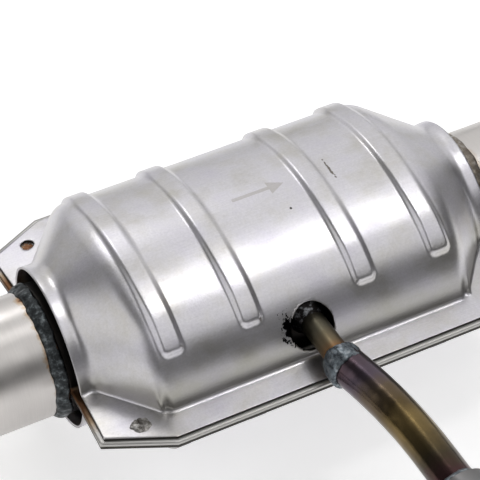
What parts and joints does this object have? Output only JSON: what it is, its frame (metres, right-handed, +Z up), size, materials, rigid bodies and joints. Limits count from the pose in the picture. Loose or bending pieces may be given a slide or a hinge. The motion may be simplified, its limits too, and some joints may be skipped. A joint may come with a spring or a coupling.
{
  "type": "catalytic converter",
  "caption": "Oval heat-shielded exhaust catalytic converter with straight pipe ends, chamfered flanges, pressed beads and a side air tube.",
  "frame": {"origin": "centre of the inlet pipe's mouth", "axes": "+X along the gas flow from inlet to outlet, +Y away from the air tube, +Z up"},
  "size_m": [0.38, 0.307, 0.1112],
  "materials": {
    "shield_steel": "satin pressed stainless sheet",
    "can_steel": "satin stainless sheet, dulled",
    "pipe_steel": "satin stainless tube, lightly heat tinted",
    "weld_metal": "dark rough weld metal",
    "stub_steel": "olive brown heat-tinted steel",
    "air_tube_steel": "brown and bronze heat-tinted steel",
    "sleeve_steel": "grey heat-tinted steel",
    "collar_weld_metal": "blue-grey weld metal",
    "plug_metal": "dull silver weld metal",
    "cordierite": "unglazed honeycomb ceramic",
    "fibre_mat": "ceramic fibre mat"
  },
  "bodies": {
    "root": {"upper_heat_shield": "shield_steel", "lower_heat_shield": "shield_steel", "can_upper_half": "can_steel", "can_lower_half": "can_steel", "front_brick": "cordierite", "rear_brick": "cordierite", "front_mat": "fibre_mat", "rear_mat": "fibre_mat", "inlet_pipe": "pipe_steel", "outlet_pipe": "pipe_steel", "inlet_pipe_weld": "weld_metal", "outlet_pipe_weld": "weld_metal", "air_stub": "stub_steel", "air_tube": "air_tube_steel", "air_tube_sleeve": "sleeve_steel", "air_boss_weld": "weld_metal", "air_joint_weld": "collar_weld_metal", "air_sleeve_weld": "collar_weld_metal", "upper_plug_welds": "plug_metal", "lower_plug_welds": "plug_metal"}
  },
  "joints": []
}
